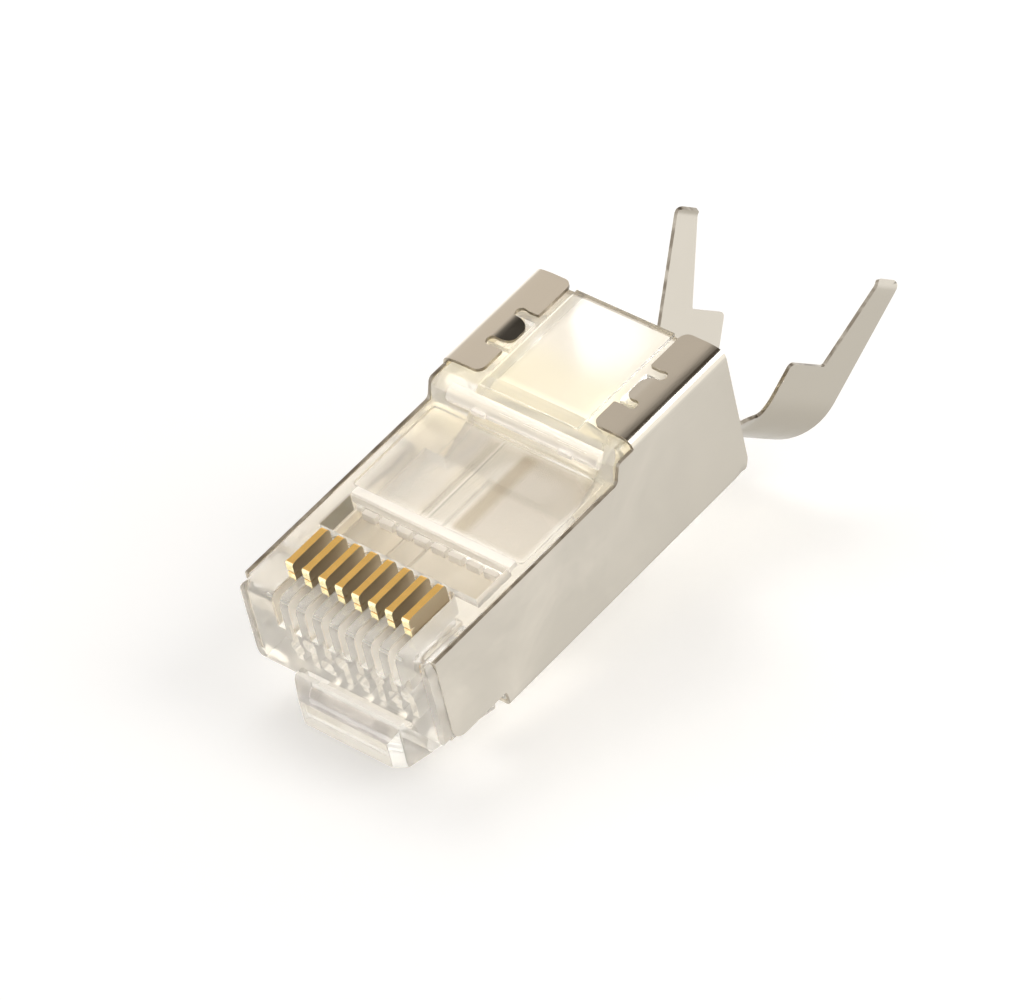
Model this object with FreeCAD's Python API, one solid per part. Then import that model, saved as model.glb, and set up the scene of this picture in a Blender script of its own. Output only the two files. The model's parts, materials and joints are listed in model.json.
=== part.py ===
"""Shielded eight-way modular plug with a rear crimp clamp, in millimetres.

Every piece is drawn in the plug's own frame: x across the plug, y from the
front edge of the sheet shell towards the cable, z from the underside of the
shell's base plate towards the contacts.  settle() then lays the finished
plug on its latch, the way it lies on a table, with +Z up and the origin at
the bottom centre of its bounding box.
"""
import FreeCAD, Part
import math
import os
from FreeCAD import Placement, Rotation, Vector

# Shell: one blank of nickel-plated sheet
shell_width = 11.7
shell_length = 21.57
sheet = 0.25
fold = 0.40                 # outside radius of every long fold
side_height = 6.25          # side walls beside the contacts
hump_height = 7.86          # side walls and flaps over the cable entry
skirt_lift = 1.05           # how far the front of the side walls stops short of the base
skirt_length = 3.80
skirt_corner = 0.80
step_y = 13.20
step_run = 0.38
step_radius = 0.34
rear_corner = 0.50
flap_y = 14.65
flap_reach = 2.42
flap_corner = 0.45
tongue_front = 16.75
tongue_width = 1.80
tongue_reach = 1.05
tongue_bend = 20.0
tongue_gap = 0.45
tongue_root = 1.40          # from the wall's outside to the tongue's root
bay_width = 6.9             # opening of the base plate over the latch
bay_end = 12.6
bay_corner = 0.6

# Rear tail: neck, trough and the two crimp wings
tail_bend = 43.25
neck_width = 8.0
neck_length = 3.40
neck_ease = 0.12            # flat run of the neck before it turns down
trough_radius = 3.80
wing_lean = 11.6
band_length = 5.32
shoulder_reach = 7.10       # along the sheet, from the trough's centre line
wing_reach = 12.08
finger_root = 2.50
finger_tip = 1.66
finger_corner = 0.30
curl_radius = 0.55
curl_angle = 55.0
relief = 0.16

# Housing: one clear moulding
nose_y = -0.55
nose_width = 11.66
nose_corner = 0.70
nose_round = 0.55
nose_floor = 1.05
housing_end = 21.32
edge_round = 0.20
hump_bevel = 0.50
pad_width = 6.0
pad_rise = 0.17
pitch = 1.02
ways = 8
slot_width = 0.60
slot_floor = 4.20
slot_end = 3.95
window_y = 4.15
window_width = 9.64
window_end = 6.43
window_floor = 5.15
bar_drop = 0.50
bar_depth = 0.12
mouth_width = 0.62
mouth_height = 0.42
mouth_depth = 0.35
bar_width = 0.55
panel_width = 10.5
panel_drop = 0.16
panel_gap = 0.25
cavity_width = 8.0
cavity_floor = 0.95
cavity_roof = 0.41
cavity_corner = 1.80
cavity_depth = 7.0
funnel_length = 5.0
channel_width = 0.84
channel_height = 0.90
channel_z = 2.75
channel_start = 0.45
underside_rise = 0.80

# Contacts: stamped blades, shown before crimping
blade = 0.38
blade_clearance = 0.02
contact_y = 0.82
contact_length = 2.68
contact_top = 7.26
contact_height = 4.30
contact_travel = 1.25
face_height = 0.95
face_step = 0.14
nick = 0.08
nick_drop = 0.40
prongs = 3
prong_height = 0.95
blade_corner = 0.12

# Latch: moulded with the housing, bends at its root
latch_angle = 14.0
root_y = -1.45
root_front_z = -1.02
root_width = 6.50
root_corner = 0.58
root_face_top = 0.52
root_brow = 1.45
knuckle_y = 0.95
knuckle_radius = 0.50
knuckle_clearance = 0.04
latch_shoulder = 4.40
latch_shoulder_height = 1.35
finger_width = 3.25
latch_reach = 13.30
latch_tip_height = 0.75
latch_tip_radius = 0.30

side = shell_width / 2
inner = side - sheet
roof = hump_height - sheet
sink = math.tan(math.radians(latch_angle))


def outline(corners, place):
    """Flat face through the corners (a, b, radius), each rounded by its radius."""
    count = len(corners)
    starts = []
    ends = []
    arcs = []
    for index in range(count):
        a, b, radius = corners[index]
        here = Vector(a, b, 0)
        before = Vector(*corners[index - 1][:2], 0) - here
        after = Vector(*corners[(index + 1) % count][:2], 0) - here
        if radius <= 0:
            starts.append(here)
            ends.append(here)
            arcs.append(None)
            continue
        half = before.getAngle(after) / 2
        back = radius / math.tan(half)
        first = here + before.normalize() * back
        last = here + after.normalize() * back
        middle = (before + after).normalize()
        centre = here + middle * (radius / math.sin(half))
        starts.append(first)
        ends.append(last)
        arcs.append(centre - middle * radius)
    edges = []
    for index in range(count):
        if arcs[index] is not None:
            points = [place(p.x, p.y) for p in (starts[index], arcs[index], ends[index])]
            edges.append(Part.Arc(*points).toShape())
        here = place(ends[index].x, ends[index].y)
        there = place(*[starts[(index + 1) % count][axis] for axis in (0, 1)])
        if here.distanceToPoint(there) > 1e-7:
            edges.append(Part.makeLine(here, there))
    return Part.Face(Part.Wire(edges))


def across(corners, half_width, middle=0.0):
    """Prism along x of an outline given as (y, z, radius)."""
    left = middle - half_width
    face = outline(corners, lambda y, z: Vector(left, y, z))
    return face.extrude(Vector(2 * half_width, 0, 0))


def along(corners, y0, y1):
    """Prism along y of an outline given as (x, z, radius)."""
    face = outline(corners, lambda x, z: Vector(x, y0, z))
    return face.extrude(Vector(0, y1 - y0, 0))


def upward(corners, z0, z1):
    """Prism along z of an outline given as (x, y, radius)."""
    face = outline(corners, lambda x, y: Vector(x, y, z0))
    return face.extrude(Vector(0, 0, z1 - z0))


def block(x0, x1, y0, y1, z0, z1):
    return Part.makeBox(x1 - x0, y1 - y0, z1 - z0, Vector(x0, y0, z0))


def rectangle(half_width, low, high, radius):
    return [(-half_width, low, radius), (half_width, low, radius),
            (half_width, high, radius), (-half_width, high, radius)]


def mirrored(shape):
    return shape.mirror(Vector(0, 0, 0), Vector(1, 0, 0))


def way_x(index):
    """Centre line of a contact; way 1 is at +x."""
    return (ways - 1 - 2 * index) * pitch / 2


# Shell


def shell_sleeve():
    """Base plate, side walls and flaps before their outlines are cut."""
    bend = fold - sheet
    outer = along(rectangle(side, 0, hump_height, fold), flap_y, shell_length)
    hollow = along(rectangle(inner, sheet, roof, bend), flap_y, shell_length)
    rear = outer.cut(hollow)
    top = hump_height + fold
    outer = along([(-side, 0, fold), (side, 0, fold), (side, top, 0), (-side, top, 0)], 0, flap_y)
    hollow = along([(-inner, sheet, bend), (inner, sheet, bend), (inner, top, 0), (-inner, top, 0)],
                   0, flap_y)
    return rear.fuse(outer.cut(hollow))


def shell_silhouette():
    """Side view of the shell: skirt, front wall, step and hump."""
    return across([(0, skirt_lift, skirt_corner), (0, side_height, 0.08),
                   (step_y, side_height, step_radius), (step_y + step_run, hump_height, step_radius),
                   (shell_length, hump_height, 0), (shell_length, 0, rear_corner),
                   (skirt_length, 0, 0), (skirt_length - 0.35 * sheet, skirt_lift, 0.1)], side)


def flap_opening():
    """What is cut from the roof between the flaps, with a bay round each tongue."""
    edge = side - flap_reach
    root = side - tongue_root
    bay_front = tongue_front - tongue_gap
    bay_rear = tongue_front + tongue_width + tongue_gap
    cut = block(-edge, edge, flap_y, shell_length, roof - fold, hump_height + 1)
    bay = upward([(edge - 1, bay_front, 0), (root, bay_front, 0.12),
                  (root, bay_rear, 0.12), (edge - 1, bay_rear, 0)], roof - 0.1, hump_height + 1)
    cut = cut.fuse([bay, mirrored(bay)])
    for y in (flap_y, shell_length):
        inward = flap_corner if y == flap_y else -flap_corner
        low, high = sorted((y, y + inward))
        nibble = block(edge, edge + flap_corner, low, high, roof - 0.1, hump_height + 1)
        rounding = Part.makeCylinder(flap_corner, fold * 4,
                                     Vector(edge + flap_corner, y + inward, roof - fold))
        nibble = nibble.cut(rounding)
        cut = cut.fuse([nibble, mirrored(nibble)])
    return cut


def tongue():
    """D-shaped tongue on the +x flap, bent down about its root."""
    root = side - tongue_root
    tip = root - tongue_reach
    rear = tongue_front + tongue_width
    round_end = 0.45 * tongue_width
    plate = upward([(root + sheet, tongue_front, 0), (tip, tongue_front, round_end),
                    (tip, rear, round_end), (root + sheet, rear, 0)], roof, hump_height)
    plate.rotate(Vector(root + sheet, 0, hump_height), Vector(0, 1, 0), -tongue_bend)
    return plate.common(block(0, side - fold, tongue_front, rear, 0, hump_height))


def arch(half_sheet, radius, thick):
    """Curved strip section: sheet bent to a radius, as x and height above its lowest point."""
    angle = half_sheet / radius
    inside = radius - thick

    def spot(distance, turn):
        return (distance * math.sin(turn), radius - distance * math.cos(turn))
    return [spot(radius, -angle), spot(radius, 0), spot(radius, angle),
            spot(inside, angle), spot(inside, 0), spot(inside, -angle)]


def neck_section(y, z, turn, radius):
    """The neck's section at a point of its underside, turned down by an angle."""
    slope = math.radians(turn)
    points = []
    for x, height in arch(neck_width / 2, radius, sheet):
        points.append(Vector(x, y + height * math.sin(slope), z + height * math.cos(slope)))
    lower_left, low, lower_right, upper_right, high, upper_left = points
    return Part.Wire([Part.Arc(lower_left, low, lower_right).toShape(),
                      Part.makeLine(lower_right, upper_right),
                      Part.Arc(upper_right, high, upper_left).toShape(),
                      Part.makeLine(upper_left, lower_left)])


def trough_start():
    """Lowest point of the trough's front edge, where the neck ends."""
    slope = math.radians(tail_bend)
    bend_y = shell_length - 0.5 * sheet
    return (bend_y + neck_length * math.cos(slope), -neck_length * math.sin(slope))


def neck():
    """Sheet that leaves the base plate flat and ends as the trough's arc."""
    slope = math.radians(tail_bend)
    end_y, end_z = trough_start()
    bend_y = shell_length - 0.5 * sheet
    ease = neck_ease
    half = neck_width / 2
    corners = [Vector(x, bend_y - ease, z) for x, z in
               ((-half, 0), (half, 0), (half, sheet), (-half, sheet), (-half, 0))]
    sections = [Part.makePolygon(corners)]
    for share, radius in ((0.10, 2.6), (0.55, 1.35), (1.0, 1.0)):
        distance = share * neck_length
        sections.append(neck_section(bend_y + distance * math.cos(slope),
                                     -distance * math.sin(slope), tail_bend, radius * trough_radius))
    flat = block(-half, half, bend_y - 3 * ease, bend_y - ease, 0, sheet)
    return Part.makeLoft(sections, True, True).fuse(flat)


def wing_height(reach):
    """Height above the trough's lowest point of a place on the sheet."""
    turn = math.radians(90 - wing_lean)
    straight = reach - trough_radius * turn
    return trough_radius * (1 - math.cos(turn)) + straight * math.sin(turn)


def trough_profile(offset):
    """Edge path of the U section, from one curled tip round to the other."""
    turn = math.radians(90 - wing_lean)
    curl = math.radians(curl_angle)
    arc_radius = trough_radius - offset
    tip_radius = curl_radius - offset
    straight = wing_reach - trough_radius * turn - curl_radius * curl
    start = Vector(arc_radius * math.sin(turn), trough_radius - arc_radius * math.cos(turn), 0)
    run = Vector(math.cos(turn), math.sin(turn), 0) * straight
    centre = Vector(trough_radius * math.sin(turn), trough_radius * (1 - math.cos(turn)), 0) + run
    centre = centre + Vector(-math.sin(turn), math.cos(turn), 0) * curl_radius

    def on_curl(angle):
        return centre + Vector(math.sin(turn + angle), -math.cos(turn + angle), 0) * tip_radius
    return start, start + run, on_curl(curl / 2), on_curl(curl)


def trough():
    """U-shaped band with its two wings, drawn with the trough's axis along y."""
    outside = trough_profile(0)
    inside = trough_profile(sheet)
    edges = []
    for flip in (1, -1):
        for start, line_end, middle, tip in (outside, inside):
            points = [Vector(flip * p.x, 0, p.y) for p in (start, line_end, middle, tip)]
            edges.append(Part.makeLine(points[0], points[1]))
            edges.append(Part.Arc(points[1], points[2], points[3]).toShape())
        edges.append(Part.makeLine(Vector(flip * outside[3].x, 0, outside[3].y),
                                   Vector(flip * inside[3].x, 0, inside[3].y)))
    for path, low in ((outside, 0), (inside, sheet)):
        ends = [Vector(flip * path[0].x, 0, path[0].y) for flip in (-1, 1)]
        edges.append(Part.Arc(ends[0], Vector(0, 0, low), ends[1]).toShape())
    face = Part.Face(Part.Wire(Part.__sortEdges__(edges)))
    band = face.extrude(Vector(0, band_length, 0))
    return band.common(wing_outline(1).fuse(wing_outline(-1)))


def wing_outline(hand):
    """Side view of one wing; the fingers sit at opposite ends so that they interleave."""
    shoulder = wing_height(shoulder_reach)
    top = wing_height(wing_reach)
    corners = [(0, -1, 0), (0, shoulder, finger_corner),
               (band_length - finger_root, shoulder, relief),
               (band_length - finger_tip, top, relief / 2), (band_length, top, finger_corner),
               (band_length, -1, 0)]
    if hand < 0:
        corners = [(band_length - y, z, radius) for y, z, radius in reversed(corners)]
    return across(corners, side / 2, hand * side / 2)


def shield():
    """The whole shell, folded from one blank."""
    body = shell_sleeve().common(shell_silhouette())
    body = body.cut(flap_opening())
    bay = upward([(-bay_width / 2, 0, 0), (bay_width / 2, 0, 0),
                  (bay_width / 2, bay_end, bay_corner), (-bay_width / 2, bay_end, bay_corner)],
                 -1, 2 * sheet)
    body = body.cut(bay)
    y, z = trough_start()
    clamp = trough()
    clamp.Placement = Placement(Vector(0, y, z), Rotation(Vector(1, 0, 0), -tail_bend))
    flap_tongue = tongue()
    return body.fuse([flap_tongue, mirrored(flap_tongue), neck(), clamp]).removeSplitter()


# Housing


def housing_blank():
    """Outside of the clear body: nose lip, contact deck, step and hump."""
    bevel_y = step_y + step_run + hump_bevel
    profile = [(nose_y, nose_floor, 0.3), (nose_y, side_height, nose_round),
               (step_y, side_height, 0.15), (step_y + 0.5 * step_run, roof - hump_bevel, 0.15),
               (bevel_y, roof, 0.2), (housing_end, roof, 0.1), (housing_end, sheet, 0),
               (skirt_length, sheet, 0), (skirt_length, nose_floor, 0.15)]
    body = across(profile, inner).common(along(rectangle(inner, sheet, roof, edge_round),
                                               0, housing_end))
    lip = along([(-nose_width / 2, nose_floor, nose_corner), (nose_width / 2, nose_floor, nose_corner),
                 (nose_width / 2, side_height, nose_corner), (-nose_width / 2, side_height, nose_corner)],
                nose_y, 0)
    body = body.fuse(lip.common(across(profile, side)))
    pad = upward(rectangle(pad_width / 2, bevel_y, housing_end, 0), roof - edge_round, roof + pad_rise)
    return body.fuse(pad)


def latch_root():
    """Block under the nose that carries the latch, with a seat for its rounded end."""
    floor_z = root_front_z - (knuckle_y - root_y) * sink
    rear_y = knuckle_y - 0.4 * knuckle_radius
    shape = across([(root_y, root_front_z, 0.12), (root_y, root_face_top, 0.15),
                    (nose_y, root_brow, 0.3), (rear_y, root_brow, 0), (rear_y, floor_z, 0)],
                   root_width / 2)
    plan = upward([(-root_width / 2, root_y, root_corner), (root_width / 2, root_y, root_corner),
                   (root_width / 2, rear_y, 0), (-root_width / 2, rear_y, 0)], floor_z - 1, root_brow)
    seat = Part.makeCylinder(knuckle_radius + knuckle_clearance, root_width,
                             Vector(-root_width / 2, knuckle_y, knuckle_z()), Vector(1, 0, 0))
    return shape.common(plan).cut(seat)


def knuckle_z():
    """Height of the latch's bending line: its round is tangent to the latch's underside."""
    underside = root_front_z - (knuckle_y - root_y) * sink
    return underside + knuckle_radius / math.cos(math.radians(latch_angle))


def contact_slots():
    """Comb slots, the narrow guides under them and the conductor channels."""
    cuts = []
    guide = blade / 2 + blade_clearance
    floor_z = contact_top - contact_height - contact_travel - 0.15
    for index in range(ways):
        x = way_x(index)
        half = slot_width / 2
        cuts.append(upward([(x - half, nose_y - 1, 0), (x + half, nose_y - 1, 0),
                            (x + half, slot_end, half - 0.01), (x - half, slot_end, half - 0.01)],
                           slot_floor, side_height + 1))
        cuts.append(block(x - guide, x + guide, contact_y + face_step - blade_clearance,
                          contact_y + contact_length + blade_clearance, floor_z, slot_floor))
        cuts.append(block(x - channel_width / 2, x + channel_width / 2, channel_start,
                          housing_end - cavity_depth - funnel_length + 0.1,
                          channel_z - channel_height / 2, channel_z + channel_height / 2))
    return cuts


def window():
    """Recess behind the contacts, with the row of small mouths under the cross bar."""
    lip_z = side_height - bar_drop
    pocket = across([(window_y, window_floor, 0.15), (window_y, side_height + 1, 0),
                     (window_end, side_height + 1, 0), (window_end, lip_z, 0),
                     (window_end + bar_depth, lip_z - bar_depth, 0),
                     (window_end + bar_depth, window_floor, 0.1)], window_width / 2)
    cuts = [pocket]
    for index in range(ways):
        x = way_x(index) * window_width / (ways * pitch + 1)
        z = (window_floor + lip_z - bar_depth) / 2
        mouth = along([(x - mouth_width / 2, z - mouth_height / 2, 0.1),
                       (x + mouth_width / 2, z - mouth_height / 2, 0.1),
                       (x + mouth_width / 2, z + mouth_height / 2, 0.1),
                       (x - mouth_width / 2, z + mouth_height / 2, 0.1)],
                      window_end, window_end + bar_depth + mouth_depth)
        cuts.append(mouth)
    return cuts


def panel():
    """Shallow field between the cross bar and the step."""
    return upward(rectangle(panel_width / 2, window_end + bar_width, step_y - panel_gap, 0.2),
                  side_height - panel_drop, side_height + 1)


def cable_cavity():
    """Cable entry with large corner rounds, narrowing to the row of conductor channels."""
    top = roof - cavity_roof
    middle = (cavity_floor + top) / 2
    front = housing_end - cavity_depth
    hollow = along([(x, z, cavity_corner) for x, z, _ in rectangle(cavity_width / 2, cavity_floor, top, 0)],
                   front, housing_end + 1)
    half_row = (ways * pitch - pitch + channel_width) / 2
    mouth = outline([(x, z, cavity_corner) for x, z, _ in rectangle(cavity_width / 2, cavity_floor, top, 0)],
                    lambda x, z: Vector(x, front, z)).OuterWire
    throat = outline([(x, z, 0.3 * channel_height)
                      for x, z, _ in rectangle(half_row, channel_z - channel_height / 2,
                                               channel_z + channel_height / 2, 0)],
                     lambda x, z: Vector(x, front - funnel_length, z)).OuterWire
    assert middle > channel_z
    return hollow.fuse(Part.makeLoft([mouth, throat], True, True))


def underside_bay():
    """Relief under the body that the latch swings into."""
    half = bay_width / 2
    return block(-half, half, 0.5 * skirt_length, bay_end, -1, sheet + underside_rise)


def tongue_pockets():
    """Dents in the hump's shoulders that the bent tongues enter."""
    root = side - tongue_root + sheet
    rear = tongue_front + tongue_width
    drop = tongue_reach * math.sin(math.radians(tongue_bend)) + 2 * sheet
    pocket = block(root - tongue_reach - 3 * sheet, root, tongue_front - 0.1, rear + 0.1,
                   roof - drop, roof + 1)
    return [pocket, mirrored(pocket)]


def housing():
    body = housing_blank().fuse(latch_root())
    cuts = contact_slots() + window() + [panel(), cable_cavity(), underside_bay()] + tongue_pockets()
    return body.cut(cuts).removeSplitter()


# Contacts


def contact(index):
    """Stamped blade: stepped front face, three piercing prongs below."""
    front = contact_y
    rear = contact_y + contact_length
    foot = contact_top - contact_height
    face_low = contact_top - face_height
    set_back = front + face_step
    corners = [(front, contact_top, blade_corner), (front, contact_top - nick_drop + nick, 0),
               (front + nick, contact_top - nick_drop, 0), (front + 0.02, contact_top - nick_drop - nick, 0),
               (front + 0.02, face_low, 0.05), (set_back, face_low - nick, 0), (set_back, foot + prong_height, 0)]
    step = (rear - set_back) / prongs
    for number in range(prongs):
        start = set_back + number * step
        corners.append((start + 0.25 * step, foot, 0))
        corners.append((start + 0.45 * step, foot, 0))
        corners.append((start + 0.85 * step, foot + prong_height, 0))
    corners[-1] = (rear, foot + prong_height, 0)
    corners.append((rear, contact_top, 2 * blade_corner))
    return across(corners, blade / 2, way_x(index))


# Latch


def latch():
    """Tab with locking shoulders and a narrow finger, drawn flat and turned to its free angle."""
    low = -knuckle_radius
    wide = across([(0, low, 0), (latch_shoulder, low, 0),
                   (latch_shoulder, low + latch_shoulder_height, 0.1), (0, knuckle_radius, 0)],
                  root_width / 2)
    finger = across([(0, low, 0), (latch_reach, low, latch_tip_radius),
                     (latch_reach, low + latch_tip_height, latch_tip_radius),
                     (0, knuckle_radius, 0)], finger_width / 2)
    plan = upward([(-root_width / 2, -1, 0), (root_width / 2, -1, 0),
                   (root_width / 2, latch_shoulder, 0.25), (finger_width / 2, latch_shoulder, 0.3),
                   (finger_width / 2, latch_reach, 0.5), (-finger_width / 2, latch_reach, 0.5),
                   (-finger_width / 2, latch_shoulder, 0.3), (-root_width / 2, latch_shoulder, 0.25)],
                  low - 1, knuckle_radius + latch_shoulder_height)
    knuckle = Part.makeCylinder(knuckle_radius, root_width, Vector(-root_width / 2, 0, 0),
                                Vector(1, 0, 0))
    tab = wide.fuse(finger).common(plan).fuse(knuckle).removeSplitter()
    tab.Placement = Placement(Vector(0, knuckle_y, knuckle_z()), Rotation(Vector(1, 0, 0), -latch_angle))
    return tab


def pieces():
    """Every physical piece by name, in the plug's own frame."""
    made = {"housing": housing(), "latch": latch(), "shield": shield()}
    for index in range(ways):
        made["contact_%d" % (index + 1)] = contact(index)
    return made


def settle(made):
    """Lay the plug on its latch and put the origin at the bottom centre of its box."""
    turned = Placement(Vector(0, 0, 0), Rotation(Vector(1, 0, 0), latch_angle))
    for shape in made.values():
        shape.Placement = turned.multiply(shape.Placement)
    box = Part.makeCompound(list(made.values())).optimalBoundingBox()
    shift = Vector(0, -box.Center.y, -box.ZMin)
    for shape in made.values():
        shape.translate(shift)
    return Placement(shift, Rotation(Vector(1, 0, 0), latch_angle))


plug = pieces()
resting = settle(plug)
os.makedirs("parts", exist_ok=True)
for name, shape in plug.items():
    shape.exportStep("parts/%s.step" % name)
    print(name, len(shape.Solids), shape.isValid(), round(shape.Volume, 3))
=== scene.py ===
import json
import math
from functools import partial

import bpy
import numpy as np
from mathutils import Matrix, Vector
from mathutils.geometry import delaunay_2d_cdt

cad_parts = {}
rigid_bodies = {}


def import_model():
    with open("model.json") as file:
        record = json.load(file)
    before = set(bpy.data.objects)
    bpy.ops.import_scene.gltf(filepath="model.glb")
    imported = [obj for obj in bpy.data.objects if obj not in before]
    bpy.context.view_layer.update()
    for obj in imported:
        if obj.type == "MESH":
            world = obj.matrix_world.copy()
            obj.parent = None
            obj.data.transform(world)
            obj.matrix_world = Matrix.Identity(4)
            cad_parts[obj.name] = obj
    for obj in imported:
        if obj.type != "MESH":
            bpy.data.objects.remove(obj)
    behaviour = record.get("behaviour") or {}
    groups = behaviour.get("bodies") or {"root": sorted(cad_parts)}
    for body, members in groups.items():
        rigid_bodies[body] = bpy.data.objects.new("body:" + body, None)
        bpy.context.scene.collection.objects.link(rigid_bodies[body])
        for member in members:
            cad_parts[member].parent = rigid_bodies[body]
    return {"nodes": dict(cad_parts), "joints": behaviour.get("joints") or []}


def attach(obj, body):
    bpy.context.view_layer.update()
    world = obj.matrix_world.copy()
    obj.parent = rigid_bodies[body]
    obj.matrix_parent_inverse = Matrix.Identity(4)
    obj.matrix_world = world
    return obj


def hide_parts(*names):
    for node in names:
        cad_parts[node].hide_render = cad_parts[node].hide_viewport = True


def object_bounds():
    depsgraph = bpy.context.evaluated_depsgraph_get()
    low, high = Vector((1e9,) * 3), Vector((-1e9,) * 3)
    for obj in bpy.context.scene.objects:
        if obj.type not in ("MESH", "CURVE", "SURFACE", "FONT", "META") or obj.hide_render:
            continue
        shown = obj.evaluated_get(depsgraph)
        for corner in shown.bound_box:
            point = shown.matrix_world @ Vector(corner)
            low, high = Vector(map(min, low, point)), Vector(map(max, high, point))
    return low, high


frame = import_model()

bl_info = {
    "name": "Shielded modular plug",
    "version": (1, 0, 0),
    "blender": (4, 5, 0),
    "location": "View3D > Sidebar > Plug",
    "description": "Gives the plug its clear moulding, nickel shell, gold contacts and studio",
    "category": "Object",
}

CAD_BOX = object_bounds()
MM = 0.001
CONTACTS = sorted(name for name in frame["nodes"] if name.startswith("contact_"))
JOINTS = {joint["name"]: joint for joint in frame["joints"]}
DOWN = JOINTS["contact_1_crimp"]["axis"]         # a contact is driven straight down into the body
PLUG_TILT = math.atan2(DOWN[1], -DOWN[2])        # the body lies nose down by this angle
KNUCKLE = Vector((0, 0.95, -1.10308))            # the latch's bending line in the plug's own frame, mm
PLUG_ORIGIN = Vector(JOINTS["latch_bend"]["pos_m"]) - Matrix.Rotation(PLUG_TILT, 3, "X") @ KNUCKLE * MM


class PlugSizes(bpy.types.PropertyGroup):
    camera_distance: bpy.props.FloatProperty(
        name="Camera distance", description="From the plug to the camera",
        default=0.330006, unit="LENGTH")
    camera_azimuth: bpy.props.FloatProperty(
        name="Camera azimuth", description="Turn of the camera round the plug, 0 looks along +Y",
        default=math.radians(41.5785), subtype="ANGLE")
    camera_elevation: bpy.props.FloatProperty(
        name="Camera elevation", description="Height angle of the camera above the horizon",
        default=math.radians(33.7859), subtype="ANGLE")
    camera_roll: bpy.props.FloatProperty(
        name="Camera roll", description="Turn of the camera about its own line of sight",
        default=math.radians(-1.0839), subtype="ANGLE")
    camera_lens: bpy.props.FloatProperty(
        name="Focal length", description="Focal length in millimetres on a 36 mm wide sensor",
        default=243.51)
    floor_half: bpy.props.FloatProperty(
        name="Floor half width", description="Half the side of the pale floor",
        default=3.0, unit="LENGTH")


class PlugColours(bpy.types.PropertyGroup):
    nickel: bpy.props.FloatVectorProperty(
        name="Nickel", description="Reflection colour of the shell's plating",
        default=(0.825, 0.772, 0.678), subtype="COLOR", size=3, min=0, max=1)
    gold: bpy.props.FloatVectorProperty(
        name="Gold", description="Reflection colour of the contacts' plating",
        default=(1.0, 0.665, 0.23), subtype="COLOR", size=3, min=0, max=1)
    # painted shade: the contacts' sides take this dark bronze colour
    bronze: bpy.props.FloatVectorProperty(
        name="Shaded sides", description="Colour of the contacts' sides in painted shade",
        default=(0.50, 0.415, 0.29), subtype="COLOR", size=3, min=0, max=1)
    clear: bpy.props.FloatVectorProperty(
        name="Clear plastic", description="Tint of the clear moulding",
        default=(0.985, 0.958, 0.905), subtype="COLOR", size=3, min=0, max=1)
    hazed: bpy.props.FloatVectorProperty(
        name="Hazed plastic", description="Tint of the bars that scatter light",
        default=(1.0, 0.965, 0.915), subtype="COLOR", size=3, min=0, max=1)
    amber: bpy.props.FloatVectorProperty(
        name="Thick plastic", description="Tint of the moulding where it is thickest",
        default=(1.0, 0.965, 0.84), subtype="COLOR", size=3, min=0, max=1)
    floor: bpy.props.FloatVectorProperty(
        name="Floor", description="Colour of the pale floor",
        default=(0.80, 0.785, 0.765), subtype="COLOR", size=3, min=0, max=1)


def sizes():
    return bpy.context.scene.plug_sizes


def colours():
    return bpy.context.scene.plug_colours


# Shader nodes


def feed(socket, value):
    """Gives an input a link from an output, or a plain value."""
    if isinstance(value, bpy.types.NodeSocket):
        socket.id_data.links.new(value, socket)
    elif socket.type == "RGBA":
        socket.default_value = (*value, 1.0)
    else:
        socket.default_value = value


def feed_all(node, values):
    """Feeds a node's inputs, given by name."""
    for name, value in values.items():
        feed(node.inputs[name], value)


def add(tree, kind, *feeds, **values):
    """A new node. Feeds go to its inputs in order, and a named value to that input or setting."""
    node = tree.nodes.new(kind)
    for key, value in values.items():
        if key in node.inputs:
            feed(node.inputs[key], value)
        else:
            setattr(node, key, value)
    for socket, value in zip(node.inputs, feeds):
        feed(socket, value)
    return node


def new_group(name, inputs, output):
    """An empty shader group with (name, kind, default) inputs and one number put out."""
    group = bpy.data.node_groups.new(name, "ShaderNodeTree")
    for label, kind, value in inputs:
        socket = group.interface.new_socket(label, in_out="INPUT", socket_type=kind)
        if value is not None:
            socket.default_value = value
    group.interface.new_socket(output, in_out="OUTPUT", socket_type="NodeSocketFloat")
    return group, group.nodes.new("NodeGroupInput").outputs, group.nodes.new("NodeGroupOutput")


def grain_group():
    """Fine grain of rolled or moulded surfaces: noise stretched along one way, as a height."""
    tree, entry, leave = new_group(
        "Surface grain",
        [("Vector", "NodeSocketVector", None), ("Scale", "NodeSocketFloat", 4000.0),
         ("Stretch", "NodeSocketVector", (1.0, 1.0, 1.0)), ("Detail", "NodeSocketFloat", 3.0)], "Height")
    stretched = add(tree, "ShaderNodeVectorMath", entry["Vector"], entry["Stretch"], operation="MULTIPLY")
    noise = add(tree, "ShaderNodeTexNoise", Roughness=0.6, Vector=stretched.outputs[0],
                Scale=entry["Scale"], Detail=entry["Detail"])
    feed(leave.inputs["Height"], noise.outputs[0])
    return tree


def smudge_group():
    """Soft cloudy patches between two values, such as handling marks on plating."""
    tree, entry, leave = new_group(
        "Handling marks",
        [("Vector", "NodeSocketVector", None), ("Scale", "NodeSocketFloat", 300.0),
         ("Low", "NodeSocketFloat", 0.2), ("High", "NodeSocketFloat", 0.3)], "Value")
    noise = add(tree, "ShaderNodeTexNoise", Detail=4.0, Roughness=0.55, Distortion=0.6,
                Vector=entry["Vector"], Scale=entry["Scale"])
    first, last = 0.35, 0.68         # noise up to the first gives Low, and past the last gives High
    spread = add(tree, "ShaderNodeMapRange", noise.outputs[0], first, last, entry["Low"], entry["High"],
                 interpolation_type="SMOOTHSTEP")
    feed(leave.inputs["Value"], spread.outputs[0])
    return tree


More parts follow.
